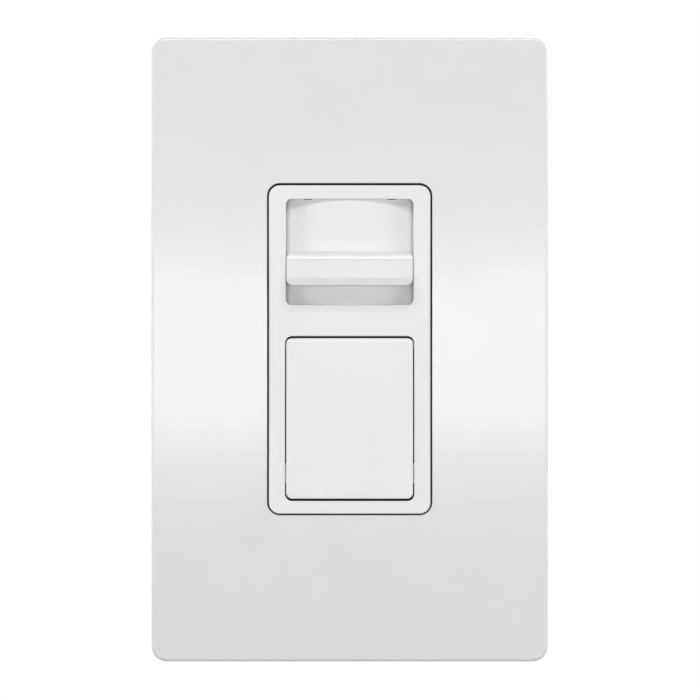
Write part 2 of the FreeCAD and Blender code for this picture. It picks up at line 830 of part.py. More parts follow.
def make_mounting_screws():
    """Two captive screws to the wall box: a thin neck, then the thread."""
    screws = new_body("mounting_screws")
    head_front = "yoke_front - box_screw_head_height"

    def pair(radius):
        return top_bottom(disc("0", "box_screw_place", radius))

    add(screws, "Heads", "Y", head_front, "yoke_front", pair("box_screw_head_radius"))
    round_off(screws, "HeadRounds", "screw_head_round", lambda box: on_y(box, head_front))
    add(screws, "Necks", "Y", "yoke_front", "box_screw_neck_end", pair("box_screw_neck"))
    add(screws, "Shanks", "Y", "box_screw_neck_end", "box_screw_end", pair("box_screw_radius"))
    bevel(screws, "Points", "screw_point", lambda box: on_y(box, "box_screw_end"))
    cross_slots(screws, head_front, ["box_screw_place", "-box_screw_place"])
    return screws


def make_screw_retainers():
    """Square fibre washers that keep the mounting screws in their slots."""
    washers = new_body("screw_retainers")
    loops = top_bottom(around("0", "box_screw_place", "retainer_side", "retainer_side"))
    loops += top_bottom(disc("0", "box_screw_place", "box_screw_neck + retainer_clearance"))
    add(washers, "Washers", "Y", "yoke_back", "yoke_back + retainer_thickness", loops)
    return washers


def make_sub_plate_screws():
    """Two short sunk screws that hold the carrier on the strap."""
    screws = new_body("sub_plate_screws")
    head_front = "sub_front + cover_screw_fit"
    head_back = f"{head_front} + cover_screw_head_height"

    def pair(radius):
        return top_bottom(disc("0", "cover_screw_place", radius))

    add(screws, "Heads", "Y", head_front, head_back, pair("cover_screw_head_radius"))
    cone = "cover_screw_head_height - cover_screw_fit"
    bevel(screws, "Cones", cone, lambda box: on_y(box, head_back))
    add(screws, "Shanks", "Y", head_back, "cover_screw_end", pair("cover_screw_radius"))
    cross_slots(screws, head_front, ["cover_screw_place", "-cover_screw_place"])
    return screws


def make_ground_screw():
    """The grounding screw under the strap's bent tab."""
    screw = new_body("ground_screw")
    head_low = "ground_tab_bottom - ground_screw_head_height"
    centre = ("ground_tab_middle", "ground_screw_depth")
    head = disc(*centre, "ground_screw_head_radius")
    shank = disc(*centre, "ground_screw_radius")
    shank_end = "-housing_end - ground_screw_end_gap"
    add(screw, "Head", "Z", head_low, "ground_tab_bottom", [head])
    add(screw, "Shank", "Z", "ground_tab_bottom", shank_end, [shank])
    slot = around(*centre, "2 * ground_screw_head_radius + overrun", "screw_slot_width")
    cut(screw, "Slot", "Z", head_low, f"{head_low} + screw_slot_depth", [slot])
    return screw


def add_hinge_ribs(frame):
    """Two ribs with snap-in slots for the paddle's trunnions."""
    rib = block(
        "hinge_rib_inside",
        "hinge_rib_outside",
        "hinge_height - hinge_rib_reach",
        "hinge_height + hinge_rib_reach",
    )
    add(frame, "HingeRibs", "Y", "skin_back", "hinge_rib_back", left_right(rib))
    across = ("X", "-hinge_rib_outside", "hinge_rib_outside")
    seat = disc("hinge_front", "hinge_height", "hinge_radius + hinge_clearance")
    cut(frame, "HingeSeats", *across, [seat])
    mouth = block(
        "hinge_front",
        "hinge_rib_back + overrun",
        "hinge_height - hinge_mouth / 2",
        "hinge_height + hinge_mouth / 2",
    )
    cut(frame, "HingeMouths", *across, [mouth])


def add_well_clips(frame):
    """Four clips with noses that hold the slider's floor from behind."""
    rib_left = "notch_place - well_clip_width / 2"
    rib_right = "notch_place + well_clip_width / 2"
    nose_left = "notch_place - notch_width / 2"
    low_seat = "well_low - seat_clearance"
    high_seat = "well_high + seat_clearance"
    low_rib = block(rib_left, rib_right, f"{low_seat} - well_clip_thickness", low_seat)
    high_rib = block(rib_left, rib_right, high_seat, "frame_inside_end + weld")
    low_nose = block(nose_left, "notch_outside", low_seat, "well_low + well_clip_grip")
    high_nose = block(nose_left, "notch_outside", "well_high - well_clip_grip", high_seat)
    ribs = left_right(low_rib) + left_right(high_rib)
    add(frame, "ClipRibs", "Y", "skin_back", "clip_back", ribs)
    noses = left_right(low_nose) + left_right(high_nose)
    add(frame, "ClipNoses", "Y", "clip_catch", "clip_back", noses)


def add_hooks(frame):
    """A hook at each end that reaches through the strap and grips its back."""
    stem = block("-hook_width / 2", "hook_width / 2", "frame_inside_end", "frame_end")
    nose = block(
        "-hook_width / 2",
        "hook_width / 2",
        "frame_inside_end - hook_reach",
        "frame_inside_end + frame_wall / 2",
    )
    add(frame, "HookStems", "Y", "yoke_front", "hook_back", top_bottom(stem))
    add(frame, "HookNoses", "Y", "hook_front", "hook_back", top_bottom(nose))


def make_face_frame():
    """The front, with the slider window over the paddle opening."""
    frame = new_body("face_frame")
    outline = around("0", "0", "2 * frame_half", "2 * frame_end")
    add(frame, "Front", "Y", "frame_front", "yoke_front", [outline])
    round_off(frame, "Corners", "frame_corner", along_y)
    round_off(frame, "FrontEdge", "frame_edge", lambda box: on_y(box, "frame_front"))
    inside = around("0", "0", "2 * frame_inside", "2 * frame_inside_end")
    cut(frame, "Hollow", "Y", "skin_back", "yoke_front", [inside])

    def inner_corner(box):
        side, end = reach(box)
        return along_y(box) and at(side, "frame_inside") and at(end, "frame_inside_end")

    round_off(frame, "HollowCorners", "frame_corner - frame_wall", inner_corner)
    through = ("Y", "frame_front - overrun", "skin_back")
    window = block("-window_half", "window_half", "window_bottom", "window_top")
    paddle_hole = block(
        "-paddle_hole_half", "paddle_hole_half", "paddle_hole_bottom", "paddle_hole_top"
    )
    cut(frame, "Window", *through, [window])
    cut(frame, "PaddleHole", *through, [paddle_hole])

    def window_corner(box):
        return along_y(box) and at(reach(box)[0], "window_half")

    def paddle_corner(box):
        return along_y(box) and at(reach(box)[0], "paddle_hole_half")

    round_off(frame, "WindowCorners", "window_corner", window_corner)
    round_off(frame, "PaddleCorners", "paddle_corner + paddle_gap_side", paddle_corner)

    def window_front(box):
        inside_side = reach(box)[0] < number("window_half") + TINY
        above = box.ZMin > number("window_bottom") - TINY
        return on_y(box, "frame_front") and inside_side and above

    def paddle_front(box):
        inside_side = reach(box)[0] < number("paddle_hole_half") + TINY
        below = box.ZMax < number("paddle_hole_top") + TINY
        return on_y(box, "frame_front") and inside_side and below

    round_off(frame, "WindowEdge", "window_edge", window_front)
    round_off(frame, "PaddleHoleEdge", "window_edge", paddle_front)
    notch = around("notch_place", "window_top", "notch_width", "2 * notch_height")
    notch_floor = "frame_front + notch_depth"
    cut(frame, "WindowNotches", "Y", "frame_front - overrun", notch_floor, left_right(notch))
    add_hinge_ribs(frame)
    add_well_clips(frame)
    add_hooks(frame)
    return frame


def make_slider_well():
    """The floor of the slider window: a crown that rises into it, with end walls."""
    well = new_body("slider_well")
    crown = ("v", "well_centre")
    floor = [
        ("-well_half", "well_side_front", crown),
        ("well_half", "well_side_front"),
        ("well_half", "well_side_back", crown),
        ("-well_half", "well_side_back"),
    ]
    add(well, "Floor", "Z", "well_low", "well_high", [floor])
    walls = left_right(block("well_level", "well_half", "skin_back", "well_side_front"))
    add(well, "LowWalls", "Z", "well_low", "well_low + well_end_wall", walls)
    add(well, "HighWalls", "Z", "well_high - well_end_wall", "well_high", walls)
    sides = ("-well_half - overrun", "well_half + overrun")
    below = block(*sides, "well_low - overrun", "window_bottom + well_gap")
    above = block(*sides, "window_top - well_gap", "well_high + overrun")
    cut(well, "CrownEnds", "Y", "well_front - overrun", "skin_back", [below, above])
    notch = around("notch_place", "window_top", "notch_width", "2 * notch_height")
    cut(well, "RimNotches", "Y", "well_front - overrun", "well_side_back", left_right(notch))
    return well


def make_slider_knob():
    """The wide bar. Its wings run under the front's edges, its legs beside the well."""
    knob = new_body("slider_knob")
    crown = ("v", "well_centre")
    bar = [
        ("-knob_half", "knob_front"),
        ("knob_half", "knob_front"),
        ("knob_half", "knob_side_back", crown),
        ("-knob_half", "knob_side_back"),
    ]
    add(knob, "Bar", "Z", "-knob_height / 2", "knob_height / 2", [bar])

    top, bottom = "knob_height / 2", "-knob_height / 2"

    def side_edge(box):
        on_side = box.XLength < TINY and at(reach(box)[0], "knob_half")
        return on_side and box.YMax < number("knob_side_back") - TINY

    def low_corner(box):
        return along_y(box) and at(box.ZMin, bottom)

    def top_corner(box):
        return along_y(box) and at(box.ZMin, top)

    round_off(knob, "LowCorners", "knob_low_corner", low_corner)
    round_off(knob, "TopCorners", "knob_top_corner", top_corner)
    round_back, round_low = "knob_front + knob_top_round", f"{top} - knob_top_round"
    shoulder = [
        ("knob_front", round_low, ("u", round_back)),
        (round_back, top),
        (round_back, f"{top} + overrun"),
        ("knob_front - overrun", f"{top} + overrun"),
        ("knob_front - overrun", round_low),
    ]
    bevel_top = f"{bottom} + knob_bevel_height"
    bevel_back = "knob_front + knob_bevel_depth"
    wedge = [
        ("knob_front", bevel_top),
        (bevel_back, bottom),
        (bevel_back, f"{bottom} - overrun"),
        ("knob_front - overrun", f"{bottom} - overrun"),
        ("knob_front - overrun", bevel_top),
    ]
    across = ("X", "-knob_half - overrun", "knob_half + overrun")
    cut(knob, "TopRound", *across, [shoulder])
    cut(knob, "LowBevel", *across, [wedge])
    round_off(knob, "SideEdges", "knob_edge", side_edge)
    wings = [
        ("-leg_outside", "wing_front"),
        ("-knob_half", "wing_front"),
        ("-knob_half", "frame_front"),
        ("knob_half", "frame_front"),
        ("knob_half", "wing_front"),
        ("leg_outside", "wing_front"),
        ("leg_outside", "wing_back", crown),
        ("-leg_outside", "wing_back"),
    ]
    leg = block("leg_inside", "leg_outside", "-leg_height / 2", "leg_height / 2")
    add(knob, "Wings", "Z", "-leg_height / 2", "leg_height / 2", [wings])
    add(knob, "Legs", "Y", "wing_front", "leg_back", left_right(leg))
    return knob


def make_slider_carriage():
    """The bar between the knob's legs, with the socket that takes the lever."""
    carriage = new_body("slider_carriage")
    bar = around("0", "0", "2 * leg_inside", "leg_height")
    boss = around("0", "0", "socket_width", "leg_height")
    socket = around(
        "0", "0", "lever_thickness + 2 * pot_fit", "lever_width + 2 * pot_fit"
    )
    add(carriage, "Bar", "Y", "carriage_front", "leg_back", [bar])
    add(carriage, "Boss", "Y", "socket_front", "carriage_front", [boss])
    cut(carriage, "Socket", "Y", "socket_front + socket_floor", "leg_back", [socket])
    return carriage


def make_pot_lever():
    """The slide resistor's lever and its foot inside the can."""
    lever = new_body("pot_lever")
    tip = "socket_front + socket_floor + lever_tip_gap"
    blade = around("0", "0", "lever_thickness", "lever_width")
    foot = around("0", "0", "lever_foot_width", "lever_foot_length")
    add(lever, "Blade", "Y", tip, "foot_front", [blade])
    add(lever, "Foot", "Y", "foot_front", "foot_back", [foot])
    return lever


def make_pot_wiper():
    """A bent strip under the lever's foot that presses on the track."""
    wiper = new_body("pot_wiper")
    end = "wiper_length / 2"
    touch = "track_front - pot_fit"
    strip = [
        ("foot_back", end),
        ("foot_back", minus(end)),
        ("foot_back + wiper_strip", minus(end)),
        (touch, "wiper_length / 5"),
        (touch, "wiper_length / 5 + 2 * wiper_strip"),
        (f"{touch} - wiper_strip", "wiper_length / 5 + 2 * wiper_strip"),
        ("foot_back + wiper_strip", f"3 * wiper_strip - {end}"),
        ("foot_back + wiper_strip", end),
    ]
    add(wiper, "Strip", "X", "-wiper_width / 2", "wiper_width / 2", [strip])
    return wiper


def make_pot_cover():
    """The slide resistor's can, open to the board, slotted for the lever."""
    cover = new_body("pot_cover")
    outside = around("0", "travel_middle", "pot_width", "2 * pot_half_length")
    inside = around(
        "0", "travel_middle", "pot_width - 2 * pot_can", "2 * (pot_half_length - pot_can)"
    )
    slot = around(
        "0",
        "travel_middle",
        "lever_thickness + 2 * lever_clearance",
        "2 * travel_half + lever_width + 2 * lever_clearance",
    )
    add(cover, "Can", "Y", "pot_front", "board_front", [outside])
    cut(cover, "Inside", "Y", "pot_front + pot_can", "board_front", [inside])
    cut(cover, "Slot", "Y", "pot_front", "pot_front + pot_can", [slot])
    return cover


def make_pot_track():
    """The resistive track on the board, inside the can."""
    track = new_body("pot_track")
    width = "pot_width - 2 * pot_can - 2 * pot_fit"
    length = "2 * (pot_half_length - pot_can - pot_fit)"
    strip = around("0", "travel_middle", width, length)
    add(track, "Strip", "Y", "track_front", "board_front", [strip])
    return track


def paddle_front_at(z):
    """How deep the paddle's sloping front lies at a height."""
    return f"frame_front - paddle_slope * (paddle_top - ({z}))"


def make_paddle():
    """The press paddle: sloping front, side walls, trunnions, press rib and lugs."""
    paddle = new_body("paddle")
    low_inside = "paddle_bottom + paddle_wall"
    high_inside = "paddle_top - paddle_wall"
    bevel_low = "paddle_top - paddle_bevel_height"
    solid = [
        (f"{paddle_front_at('paddle_top')} + paddle_bevel_depth", "paddle_top"),
        (paddle_front_at(bevel_low), bevel_low),
        (paddle_front_at("paddle_bottom"), "paddle_bottom"),
        ("paddle_back", "paddle_bottom"),
        ("paddle_back", "paddle_top"),
    ]
    add(paddle, "Solid", "X", "-paddle_half", "paddle_half", [solid])
    round_off(paddle, "Corners", "paddle_corner", along_y)

    def front_rim(box):
        side, end = reach(box)
        tall = box.ZLength > number("paddle_top - paddle_bottom") / 2
        at_side = at(side, "paddle_half") and tall
        at_bottom = at(box.ZMin, "paddle_bottom") and box.YMax < number("frame_front")
        return box.YMax < number("skin_back") and (at_side or at_bottom)

    round_off(paddle, "FrontEdge", "paddle_edge", front_rim)
    hollow = [
        (f"{paddle_front_at(high_inside)} + paddle_skin", high_inside),
        (f"{paddle_front_at(low_inside)} + paddle_skin", low_inside),
        ("paddle_back", low_inside),
        ("paddle_back", high_inside),
    ]
    inside = "paddle_half - paddle_wall"
    cut(paddle, "Hollow", "X", minus(inside), inside, [hollow])
    rib = around("0", "switch_height", "press_rib_width", "press_rib_thickness")
    rib_root = f"{paddle_front_at('switch_height')} + paddle_skin / 2"
    add(paddle, "PressRib", "Y", rib_root, "-press_rib_back", [rib])
    wall_middle = "paddle_half - paddle_wall / 2"
    trunnion = disc("hinge_front", "hinge_height", "hinge_radius")
    lug = around(
        "lug_front + lug_thickness / 2", "lug_place", "lug_thickness", "lug_length"
    )
    for side in (1, -1):
        outside = one_side(side, wall_middle, "hinge_rib_outside")
        add(paddle, "Trunnion", "X", *outside, [trunnion])
        add(paddle, "Lug", "X", *one_side(side, wall_middle, "paddle_half + lug_reach"), [lug])
    return paddle


def one_side(side, inner, outer):
    """The range from inner to outer, on the right (1) or on the left (-1)."""
    return (inner, outer) if side > 0 else (minus(outer), minus(inner))


def make_switch_body():
    """The press switch's case, open to the board."""
    case = new_body("switch_body")
    outside = around("0", "switch_height", "switch_width", "switch_length")
    inside = around(
        "0",
        "switch_height",
        "switch_width - 2 * switch_wall",
        "switch_length - 2 * switch_wall",
    )
    bore_side = "plunger_side + 2 * plunger_clearance"
    bore = around("0", "switch_height", bore_side, bore_side)
    add(case, "Case", "Y", "switch_front", "board_front", [outside])
    cut(case, "Inside", "Y", "switch_inside_front", "board_front", [inside])
    cut(case, "Bore", "Y", "switch_front", "switch_inside_front", [bore])
    return case


def make_switch_plunger():
    """The square plunger, its flange inside the case and the pilot for its spring."""
    plunger = new_body("switch_plunger")
    stem = around("0", "switch_height", "plunger_side", "plunger_side")
    flange = around(
        "0", "switch_height", "plunger_flange_width", "plunger_flange_length"
    )
    pilot = disc("0", "switch_height", "spring_pilot_radius")
    add(plunger, "Stem", "Y", "plunger_tip", "flange_at", [stem])
    add(plunger, "Flange", "Y", "flange_at", "flange_back", [flange])
    add(plunger, "Pilot", "Y", "flange_back", "flange_back + plunger_flange_thickness", [pilot])
    return plunger


def make_contact_bridge():
    """The metal bridge behind the plunger's flange."""
    bridge = new_body("contact_bridge")
    strip = around("0", "switch_height", "bridge_width", "bridge_length")
    hole = disc("0", "switch_height", "bridge_hole_radius")
    add(bridge, "Strip", "Y", "flange_back", "flange_back + bridge_thickness", [strip, hole])
    return bridge


def make_fixed_contacts():
    """The two fixed contacts that stand on the board."""
    contacts = new_body("fixed_contacts")
    pair = [
        disc("0", f"switch_height {sign} contact_place", "contact_radius")
        for sign in "+-"
    ]
    add(contacts, "Posts", "Y", "contact_front", "board_front", pair)
    return contacts


def make_plunger_spring():
    """The coil spring between the plunger and the board, along the press direction."""
    start = number("flange_back + spring_gap + spring_wire / 2")
    end = number("board_front - spring_gap - spring_wire / 2")
    turns = number("spring_turns")
    radius = number("spring_radius")
    helix = Part.makeHelix((end - start) / turns, end - start, radius)
    circle = Part.makeCircle(number("spring_wire / 2"), V(radius, 0, 0), V(0, 1, 0))
    coil = Part.Wire(helix.Edges).makePipeShell([Part.Wire([circle])], True, True)
    spring = doc.addObject("Part::Feature", "plunger_spring")
    spring.Shape = coil
    turn = FreeCAD.Rotation(V(1, 0, 0), -90)
    spring.Placement = FreeCAD.Placement(V(0, start, number("switch_height")), turn)
    return spring


def make_circuit_board():
    board = new_body("circuit_board")
    outline = around("0", "0", "2 * board_half", "2 * board_end")
    add(board, "Sheet", "Y", "board_front", "board_back", [outline])
    return board


def beside_triac(low, high, z_low, z_high):
    """A rectangle whose sides are counted from the middle of the triac."""
    return block(f"triac_place + {low}", f"triac_place + {high}", z_low, z_high)


def make_triac():
    """The power switch: tab on the strap's back, leads bent to the board."""
    triac = new_body("triac")
    sides = ("-triac_width / 2", "triac_width / 2")
    tab = beside_triac(*sides, "triac_shoulder", "triac_top")
    hole = disc("triac_place", "rivet_height", "rivet_radius + rivet_clearance")
    case = beside_triac(*sides, "triac_bottom", "triac_shoulder")
    add(triac, "Tab", "Y", "pad_back", "triac_tab_back", [tab, hole])
    add(triac, "Case", "Y", "pad_back", "pad_back + triac_depth", [case])
    lead_front = "pad_back + triac_depth / 2"
    lead_back = f"{lead_front} + triac_lead_thickness"
    lead_end = "triac_bottom - triac_lead_drop"
    drops = []
    turns = []
    for place in ("-triac_lead_pitch", "0", "triac_lead_pitch"):
        lead = (f"{place} - triac_lead_width / 2", f"{place} + triac_lead_width / 2")
        drops.append(beside_triac(*lead, lead_end, "triac_bottom"))
        turns.append(beside_triac(*lead, lead_end, f"{lead_end} + triac_lead_thickness"))
    add(triac, "LeadDrops", "Y", lead_front, lead_back, drops)
    add(triac, "LeadTurns", "Y", lead_back, "board_front", turns)
    return triac


def make_triac_pad():
    """The thin insulating pad between the triac and the strap."""
    pad = new_body("triac_pad")
    sheet_loop = beside_triac(
        "-triac_width / 2 - pad_margin",
        "triac_width / 2 + pad_margin",
        "triac_bottom - pad_margin",
        "triac_top + pad_margin",
    )
    hole = disc("triac_place", "rivet_height", "rivet_radius + rivet_clearance")
    add(pad, "Sheet", "Y", "yoke_back", "pad_back", [sheet_loop, hole])
    return pad


def make_triac_rivet():
    """The rivet that clamps the triac's tab to the strap."""
    rivet = new_body("triac_rivet")
    head = disc("triac_place", "rivet_height", "rivet_head_radius")
    shank = disc("triac_place", "rivet_height", "rivet_radius")
    add(rivet, "FrontHead", "Y", "yoke_front - rivet_head_height", "yoke_front", [head])
    add(rivet, "Shank", "Y", "yoke_front", "triac_tab_back", [shank])
    back = "triac_tab_back + rivet_head_height"
    add(rivet, "BackHead", "Y", "triac_tab_back", back, [head])
    return rivet


def revolve_ring(label, loops, angle):
    """A ring about the press direction, standing on the board behind it."""
    ring = new_body(label)
    sketch = draw(ring, "Section", "Z", "0", loops)
    turned = ring.newObject("PartDesign::Revolution", "Ring")
    turned.Profile = sketch
    axis = [item for item in ring.Origin.OriginFeatures if item.Role == "Y_Axis"][0]
    turned.ReferenceAxis = (axis, [""])
    turned.setExpression("Angle", formula(angle))
    ring.setExpression("Placement.Base.y", formula("board_back + part_gap"))
    ring.setExpression("Placement.Base.z", formula("choke_height"))
    doc.recompute()
    return ring


def make_choke_core():
    """The ring core, lifted off the board by the winding round it."""
    high = "winding_reach + choke_thickness"
    section = block("choke_inner_radius", "choke_outer_radius", "winding_reach", high)
    return revolve_ring("choke_core", [section], "360")


def make_choke_winding():
    """The winding, as one layer round most of the core."""
    outer = block(
        "choke_inner_radius - winding_reach",
        "choke_outer_radius + winding_reach",
        "0",
        "choke_thickness + 2 * winding_reach",
    )
    inner = block(
        "choke_inner_radius - winding_clearance",
        "choke_outer_radius + winding_clearance",
        "winding_thickness",
        "winding_thickness + choke_thickness + 2 * winding_clearance",
    )
    return revolve_ring("choke_winding", [outer, inner], "winding_angle")


def make_film_capacitors():
    capacitors = new_body("film_capacitors")
    loops = [
        around(
            "0",
            f"capacitor_height {sign} capacitor_pitch / 2",
            "capacitor_length",
            "capacitor_thickness",
        )
        for sign in "+-"
    ]
    front = "board_back + part_gap"
    back = f"{front} + capacitor_depth"
    add(capacitors, "Boxes", "Y", front, back, loops)
    round_off(capacitors, "Rounds", "capacitor_round", lambda box: on_y(box, back))
    return capacitors


def lying_cylinders(label, radius, length, place, heights):
    """Round parts that lie upright on the board's back, one above the other."""
    item = new_body(label)
    loop = disc(place, f"board_back + part_gap + {radius}", radius)
    for height in heights:
        low = f"{height} - {length} / 2"
        add(item, "Round", "Z", low, f"{height} + {length} / 2", [loop])
    return item


def make_resistors():
    heights = [f"choke_height {sign} resistor_pitch / 2" for sign in "+-"]
    return lying_cylinders(
        "resistors", "resistor_radius", "resistor_length", "resistor_place", heights
    )


def make_diac():
    height = "choke_height - diac_drop"
    return lying_cylinders("diac", "diac_radius", "diac_length", "diac_place", [height])


TERMINALS = {1: ("terminal_place", "-terminal_place"), -1: ("-terminal_place",)}


def make_back_housing():
    """The deep box behind the strap: screw columns, board ledges, terminal pockets."""
    housing = new_body("back_housing")
    outside = around("0", "0", "2 * housing_half", "2 * housing_end")
    inside = around("0", "0", "2 * housing_inside", "2 * housing_inside_end")
    add(housing, "Box", "Y", "yoke_back", "housing_depth", [outside])
    round_off(housing, "Corners", "housing_corner", along_y)
    round_off(housing, "BackEdge", "housing_edge", lambda box: on_y(box, "housing_depth"))
    cut(housing, "Inside", "Y", "yoke_back", "column_top", [inside])
    floor_weld = "column_top + weld"
    for side, places in TERMINALS.items():
        reach_out = "2 * (pocket_reach + pocket_wall)"
        left, right = one_side(side, "terminal_inside - pocket_wall", "housing_inside + weld")
        blocks = [
            block(left, right, f"{place} - ({reach_out}) / 2", f"{place} + ({reach_out}) / 2")
            for place in places
        ]
        add(housing, "PocketBlock", "Y", "pocket_front - pocket_wall", floor_weld, blocks)
        left, right = one_side(side, "terminal_inside", "housing_half + overrun")
        pockets = [
            block(left, right, f"{place} - pocket_reach", f"{place} + pocket_reach")
            for place in places
        ]
        cut(housing, "Pocket", "Y", "pocket_front", "housing_depth + overrun", pockets)
        left, right = one_side(side, "terminal_inside", "terminal_outside + terminal_fit")
        half = "terminal_tab_width / 2 + terminal_fit"
        slots = [block(left, right, f"{place} - ({half})", f"{place} + {half}") for place in places]
        cut(housing, "TabSlot", "Y", "pocket_front - pocket_wall", "pocket_front", slots)
    column = disc("column_place_x", "column_place_z", "column_radius")
    add(housing, "Columns", "Y", "yoke_back", floor_weld, four_ways(column))
    screw_hole = disc(
        "column_place_x", "column_place_z", "housing_screw_radius + housing_screw_fit"
    )
    hole_end = "housing_screw_end + overrun"
    cut(housing, "ScrewHoles", "Y", "yoke_back", hole_end, four_ways(screw_hole))
    ledge = block(
        "-ledge_width / 2",
        "ledge_width / 2",
        "housing_inside_end - ledge_depth",
        "housing_inside_end + weld",
    )
    add(housing, "Ledges", "Y", "board_back", floor_weld, top_bottom(ledge))
    relief = block(
        "-hook_width / 2 - hook_clearance",
        "hook_width / 2 + hook_clearance",
        "housing_inside_end - weld",
        "frame_end + hook_clearance",
    )
    relief_end = "hook_back + hook_clearance"
    cut(housing, "HookReliefs", "Y", "yoke_back", relief_end, top_bottom(relief))
    field = around(
        "0",
        "0",
        "2 * (housing_half - field_side_margin)",
        "2 * (housing_end - field_end_margin)",
    )
    behind = "housing_depth + overrun"
    cut(housing, "SunkField", "Y", "housing_depth - field_depth", behind, [field])
    mark = disc("housing_half - mark_side_inset", "housing_end - mark_end_inset", "mark_radius")
    cut(housing, "EjectorMarks", "Y", "housing_depth - mark_depth", behind, four_ways(mark))
    return housing


def make_housing_screws():
    """Four sunk screws from the strap's front into the housing's columns."""
    screws = new_body("housing_screws")
    head_front = "yoke_front + housing_screw_fit"
    head_back = f"{head_front} + housing_screw_head_height"

    def four(radius):
        return four_ways(disc("column_place_x", "column_place_z", radius))

    add(screws, "Heads", "Y", head_front, head_back, four("housing_screw_head_radius"))
    cone = "housing_screw_head_height - housing_screw_fit"
    bevel(screws, "Cones", cone, lambda box: on_y(box, head_back))
    add(screws, "Shanks", "Y", head_back, "housing_screw_end", four("housing_screw_radius"))
    slot = around(
        "column_place_x", "column_place_z", "housing_screw_head_radius", "screw_slot_width / 2"
    )
    cut(screws, "Slots", "Y", head_front, f"{head_front} + screw_slot_depth / 2", four_ways(slot))
    return screws


def make_terminal_plates():
    """The brass plates in the side pockets, each with a tab to the board's edge."""
    plates = new_body("terminal_plates")
    front = "pocket_front + terminal_fit"
    for side, places in TERMINALS.items():
        plate_range = one_side(side, "terminal_inside", "terminal_outside")
        half = "terminal_width / 2"
        loops = [
            block(front, "terminal_end", f"{place} - {half}", f"{place} + {half}")
            for place in places
        ]
        loops += [
            disc("terminal_screw_depth", place, "terminal_screw_radius + terminal_fit")
            for place in places
        ]
        add(plates, "Plate", "X", *plate_range, loops)
        tab_half = "terminal_tab_width / 2"
        tabs = [
            block("board_front", front, f"{place} - {tab_half}", f"{place} + {tab_half}")
            for place in places
        ]
        add(plates, "Tab", "X", *plate_range, tabs)
    return plates


def make_wire_clamps():
    """The pressure plates under the terminal screws' heads."""
    clamps = new_body("wire_clamps")
    for side, places in TERMINALS.items():
        front = "pocket_front + clamp_front_gap"
        half = "terminal_width / 2"
        loops = [
            block(front, "terminal_end", f"{place} - {half}", f"{place} + {half}")
            for place in places
        ]
        loops += [disc("terminal_screw_depth", place, "clamp_hole_radius") for place in places]
        add(clamps, "Clamp", "X", *one_side(side, "clamp_inside", "clamp_outside"), loops)
    return clamps


def make_terminal_screws():
    """The binding screws of the three side terminals."""
    screws = new_body("terminal_screws")
    for side, places in TERMINALS.items():
        heads = [disc("terminal_screw_depth", place, "terminal_screw_head_radius") for place in places]
        shanks = [disc("terminal_screw_depth", place, "terminal_screw_radius") for place in places]
        slots = [
            around(
                "terminal_screw_depth",
                place,
                "2 * terminal_screw_head_radius + overrun",
                "screw_slot_width",
            )
            for place in places
        ]
        add(screws, "Head", "X", *one_side(side, "clamp_outside", "housing_half"), heads)
        shank = one_side(side, "terminal_inside + terminal_fit", "clamp_outside")
        add(screws, "Shank", "X", *shank, shanks)
        slot_floor = "housing_half - screw_slot_depth * 3 / 4"
        cut(screws, "Slot", "X", *one_side(side, slot_floor, "housing_half"), slots)
    return screws


FIXED = [
    make_wall_plate,
    make_sub_plate,
    make_sub_plate_screws,
    make_yoke,
    make_mounting_screws,
    make_screw_retainers,
    make_ground_screw,
    make_face_frame,
    make_slider_well,
    make_paddle,
    make_switch_body,
    make_switch_plunger,
    make_contact_bridge,
    make_fixed_contacts,
    make_plunger_spring,
    make_pot_cover,
    make_pot_track,
    make_circuit_board,
    make_triac,
    make_triac_pad,
    make_triac_rivet,
    make_choke_core,
    make_choke_winding,
    make_film_capacitors,
    make_resistors,
    make_diac,
    make_back_housing,
    make_housing_screws,
    make_terminal_plates,
    make_wire_clamps,
    make_terminal_screws,
]

# These are drawn about the middle of the knob and placed at its height.
SLIDING = [make_slider_knob, make_slider_carriage, make_pot_lever, make_pot_wiper]

parts = [make() for make in FIXED]
for make in SLIDING:
    part = make()
    part.setExpression("Placement.Base.z", formula("knob_rest"))
    parts.append(part)
doc.recompute()

for item in doc.Objects:
    if "Invalid" in item.State or "Error" in item.State:
        raise RuntimeError(f"{item.Label} failed: {item.State}")
os.makedirs("parts", exist_ok=True)
for part in parts:
    if part.Shape.isNull() or not part.Shape.isValid():
        raise RuntimeError(f"{part.Label} has no valid shape")
    part.Shape.exportStep(f"parts/{part.Label}.step")
    solids = len(part.Shape.Solids)
    print(f"{part.Label}: {solids} solids, {part.Shape.Volume:.1f} cubic mm")
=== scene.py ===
import json
import math

import bmesh
import bpy
from mathutils import Matrix, Vector


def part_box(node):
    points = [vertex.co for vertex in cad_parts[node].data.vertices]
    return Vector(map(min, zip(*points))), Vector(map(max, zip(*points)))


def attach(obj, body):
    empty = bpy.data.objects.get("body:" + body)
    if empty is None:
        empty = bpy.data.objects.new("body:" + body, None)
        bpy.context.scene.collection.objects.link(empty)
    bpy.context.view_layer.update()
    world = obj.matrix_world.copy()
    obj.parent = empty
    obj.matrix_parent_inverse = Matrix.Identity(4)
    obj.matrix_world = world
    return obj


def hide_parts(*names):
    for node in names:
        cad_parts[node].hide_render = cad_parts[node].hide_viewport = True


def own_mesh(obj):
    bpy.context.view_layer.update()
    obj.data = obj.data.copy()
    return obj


MM = 0.001

